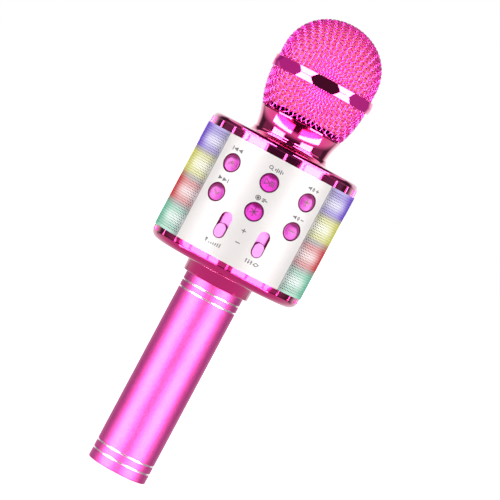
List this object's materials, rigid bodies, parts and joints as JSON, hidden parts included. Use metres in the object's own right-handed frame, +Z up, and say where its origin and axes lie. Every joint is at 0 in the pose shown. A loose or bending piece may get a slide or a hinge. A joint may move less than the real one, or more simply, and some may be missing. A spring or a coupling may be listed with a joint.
{
  "type": "karaoke microphone",
  "caption": "Handheld wireless karaoke microphone: tube handle, drum body with speakers, lights, push keys and faders, and a round woven grille head.",
  "frame": {"origin": "centre of the handle foot, on the long axis", "axes": "+Z up the long axis from the foot to the head, -Y out of the key panel, +Y out of the socket panel"},
  "size_m": [0.08, 0.0804, 0.2448],
  "materials": {
    "anodised_tube": "satin",
    "pink_chrome": "polished",
    "key_chrome": "polished",
    "mesh_pink": "gloss",
    "windscreen_foam": "matte",
    "panel_white": "satin",
    "light_grille_plastic": "satin",
    "knob_pink": "gloss",
    "black_plastic": "matte",
    "white_plastic": "matte",
    "cell_wrap": "gloss",
    "zinc_screw": "satin",
    "capsule_metal": "satin",
    "soft_rubber": "matte",
    "board_green": "satin",
    "board_white": "satin",
    "chip_black": "matte",
    "socket_steel": "satin",
    "basket_black": "satin",
    "magnet_steel": "satin",
    "cone_paper": "matte",
    "light_emitter": "gloss",
    "lead_insulation": "satin",
    "lead_grey": "matte",
    "clear_lens": "gloss"
  },
  "bodies": {
    "housing": {"handle_tube": "anodised_tube", "end_cap": "black_plastic", "battery_sleeve": "black_plastic", "battery": "cell_wrap", "handle_plug": "black_plastic", "handle_screws": "zinc_screw", "bottom_cover": "pink_chrome", "bottom_cover_screws": "zinc_screw", "top_cover": "pink_chrome", "top_cover_screws": "zinc_screw", "neck": "pink_chrome", "neck_screws": "zinc_screw", "capsule_holder": "black_plastic", "capsule_cushion": "soft_rubber", "mic_capsule": "capsule_metal", "front_panel": "panel_white", "back_panel": "panel_white", "left_light_grille": "light_grille_plastic", "right_light_grille": "light_grille_plastic", "key_switches": "black_plastic", "key_circuits": "board_green", "mic_volume_fader": "black_plastic", "remix_fader": "black_plastic", "power_switch": "black_plastic", "status_lens": "clear_lens", "chassis": "white_plastic", "main_board": "board_green", "board_chips": "chip_black", "io_board": "board_green", "usb_socket": "socket_steel", "charge_socket": "socket_steel", "card_socket": "socket_steel", "aux_jack": "black_plastic", "left_speaker_basket": "basket_black", "right_speaker_basket": "basket_black", "left_speaker_magnet": "magnet_steel", "right_speaker_magnet": "magnet_steel", "left_speaker_cone": "cone_paper", "right_speaker_cone": "cone_paper", "light_strips": "board_white", "light_emitters": "light_emitter", "battery_leads": "lead_insulation", "speaker_leads": "lead_insulation", "capsule_lead": "lead_grey"},
    "grille_head": {"upper_grille": "mesh_pink", "lower_grille": "mesh_pink", "grille_ring": "pink_chrome", "grille_collar": "pink_chrome", "foam_liner": "windscreen_foam"},
    "prev_key": {"prev_button": "key_chrome"},
    "next_key": {"next_button": "key_chrome"},
    "scan_key": {"scan_button": "key_chrome"},
    "rec_key": {"rec_button": "key_chrome"},
    "volume_up_key": {"volume_up_button": "key_chrome"},
    "volume_down_key": {"volume_down_button": "key_chrome"},
    "mode_key": {"mode_button": "key_chrome"},
    "light_key": {"light_button": "key_chrome"},
    "mic_volume_slider": {"mic_volume_knob": "knob_pink"},
    "remix_slider": {"remix_knob": "knob_pink"},
    "power_slider": {"power_knob": "knob_pink"}
  },
  "joints": [
    {"name": "grille_head_unscrew", "type": "slide", "parent": "housing", "child": "grille_head", "axis": [0, 0, 1], "range_m": [0, 0.033]},
    {"name": "prev_button_press", "type": "slide", "parent": "housing", "child": "prev_key", "axis": [0.5075, 0.8616, 0], "range_m": [0, 0.0006], "stiffness_N_per_m": 900},
    {"name": "next_button_press", "type": "slide", "parent": "housing", "child": "next_key", "axis": [0.5075, 0.8616, 0], "range_m": [0, 0.0006], "stiffness_N_per_m": 900},
    {"name": "scan_button_press", "type": "slide", "parent": "housing", "child": "scan_key", "axis": [0, 1, 0], "range_m": [0, 0.0006], "stiffness_N_per_m": 900},
    {"name": "rec_button_press", "type": "slide", "parent": "housing", "child": "rec_key", "axis": [0, 1, 0], "range_m": [0, 0.0006], "stiffness_N_per_m": 900},
    {"name": "volume_up_button_press", "type": "slide", "parent": "housing", "child": "volume_up_key", "axis": [-0.5075, 0.8616, 0], "range_m": [0, 0.0006], "stiffness_N_per_m": 900},
    {"name": "volume_down_button_press", "type": "slide", "parent": "housing", "child": "volume_down_key", "axis": [-0.5075, 0.8616, 0], "range_m": [0, 0.0006], "stiffness_N_per_m": 900},
    {"name": "mode_button_press", "type": "slide", "parent": "housing", "child": "mode_key", "axis": [-0.2756, -0.9613, 0], "range_m": [0, 0.0006], "stiffness_N_per_m": 900},
    {"name": "light_button_press", "type": "slide", "parent": "housing", "child": "light_key", "axis": [0.2756, -0.9613, 0], "range_m": [0, 0.0006], "stiffness_N_per_m": 900},
    {"name": "mic_volume_knob_slide", "type": "slide", "parent": "housing", "child": "mic_volume_slider", "axis": [0, 0, 1], "range_m": [0, 0.0056]},
    {"name": "remix_knob_slide", "type": "slide", "parent": "housing", "child": "remix_slider", "axis": [0, 0, 1], "range_m": [0, 0.0056]},
    {"name": "power_knob_slide", "type": "slide", "parent": "housing", "child": "power_slider", "axis": [0, 0, 1], "range_m": [0, 0.003]}
  ]
}
